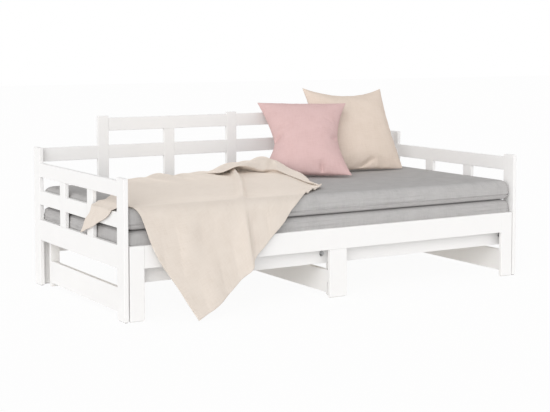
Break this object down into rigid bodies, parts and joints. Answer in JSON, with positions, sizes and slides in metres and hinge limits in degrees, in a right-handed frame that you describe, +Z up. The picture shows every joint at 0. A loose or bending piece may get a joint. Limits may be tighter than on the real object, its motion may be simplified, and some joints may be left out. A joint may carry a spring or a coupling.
{
  "type": "pull-out day bed",
  "caption": "Painted pine day bed with open slatted sides and raised back; a slatted front slides out to double its width, dressed with stacked mattresses, cushions and a throw.",
  "frame": {"origin": "middle of the box's underside, on the floor", "axes": "+X along the bed's length to the right of someone facing the front, -Y out of the open front, +Z up"},
  "size_m": [2.035, 1.097, 0.8647],
  "materials": {
    "white_paint_on_pine": "satin",
    "bare_pine": "matte",
    "mattress_fabric": "matte",
    "beige_fabric": "matte",
    "pink_fabric": "matte",
    "cream_fabric": "matte",
    "zinc_steel": "satin",
    "felt": "matte",
    "nylon": "matte"
  },
  "bodies": {
    "frame": {"back_left_baluster": "white_paint_on_pine", "back_left_crown_rail": "white_paint_on_pine", "back_left_leg": "white_paint_on_pine", "back_left_post": "white_paint_on_pine", "back_lower_rail": "white_paint_on_pine", "back_mid_rail": "white_paint_on_pine", "back_middle_leg": "white_paint_on_pine", "back_middle_post": "white_paint_on_pine", "back_right_baluster": "white_paint_on_pine", "back_right_crown_rail": "white_paint_on_pine", "back_right_leg": "white_paint_on_pine", "back_right_post": "white_paint_on_pine", "felt_pads": "felt", "fixed_left_beam": "white_paint_on_pine", "fixed_middle_post": "white_paint_on_pine", "fixed_right_beam": "white_paint_on_pine", "fixed_slats": "bare_pine", "half_moon_washers": "zinc_steel", "hanger_bolts": "zinc_steel", "hex_nuts": "zinc_steel", "left_front_baluster": "white_paint_on_pine", "left_front_post": "white_paint_on_pine", "left_lower_rail": "white_paint_on_pine", "left_mid_rail": "white_paint_on_pine", "left_rear_baluster": "white_paint_on_pine", "left_rear_post": "white_paint_on_pine", "left_top_rail": "white_paint_on_pine", "rear_slat_ledger": "white_paint_on_pine", "right_front_baluster": "white_paint_on_pine", "right_front_post": "white_paint_on_pine", "right_lower_rail": "white_paint_on_pine", "right_mid_rail": "white_paint_on_pine", "right_rear_baluster": "white_paint_on_pine", "right_rear_post": "white_paint_on_pine", "right_top_rail": "white_paint_on_pine"},
    "pull_out": {"pull_out_front_rail": "white_paint_on_pine", "pull_out_left_leg": "white_paint_on_pine", "pull_out_left_rear_leg": "white_paint_on_pine", "pull_out_left_runner": "white_paint_on_pine", "pull_out_middle_leg": "white_paint_on_pine", "pull_out_middle_rear_leg": "white_paint_on_pine", "pull_out_middle_runner": "white_paint_on_pine", "pull_out_rear_tie": "white_paint_on_pine", "pull_out_right_leg": "white_paint_on_pine", "pull_out_right_rear_leg": "white_paint_on_pine", "pull_out_right_runner": "white_paint_on_pine", "pull_out_slat_ledger": "white_paint_on_pine", "pull_out_slat_pads": "nylon", "pull_out_slats": "bare_pine", "runner_angles": "zinc_steel", "floor_glides": "nylon"},
    "lower_mattress": {"lower_mattress": "mattress_fabric"},
    "upper_mattress": {"upper_mattress": "mattress_fabric"},
    "dressing": {"beige_cushion": "beige_fabric", "pink_cushion": "pink_fabric", "throw": "cream_fabric"}
  },
  "joints": [
    {"name": "pull_out_slide", "type": "slide", "parent": "frame", "child": "pull_out", "axis": [0, -1, 0], "range_m": [0, 0.8]},
    {"name": "lower_mattress_lift", "type": "slide", "parent": "pull_out", "child": "lower_mattress", "axis": [0, 0, 1], "range_m": [0, 0.3]},
    {"name": "upper_mattress_lift", "type": "slide", "parent": "lower_mattress", "child": "upper_mattress", "axis": [0, 0, 1], "range_m": [0, 0.3]},
    {"name": "dressing_lift", "type": "slide", "parent": "upper_mattress", "child": "dressing", "axis": [0, 0, 1], "range_m": [0, 0.3]}
  ]
}
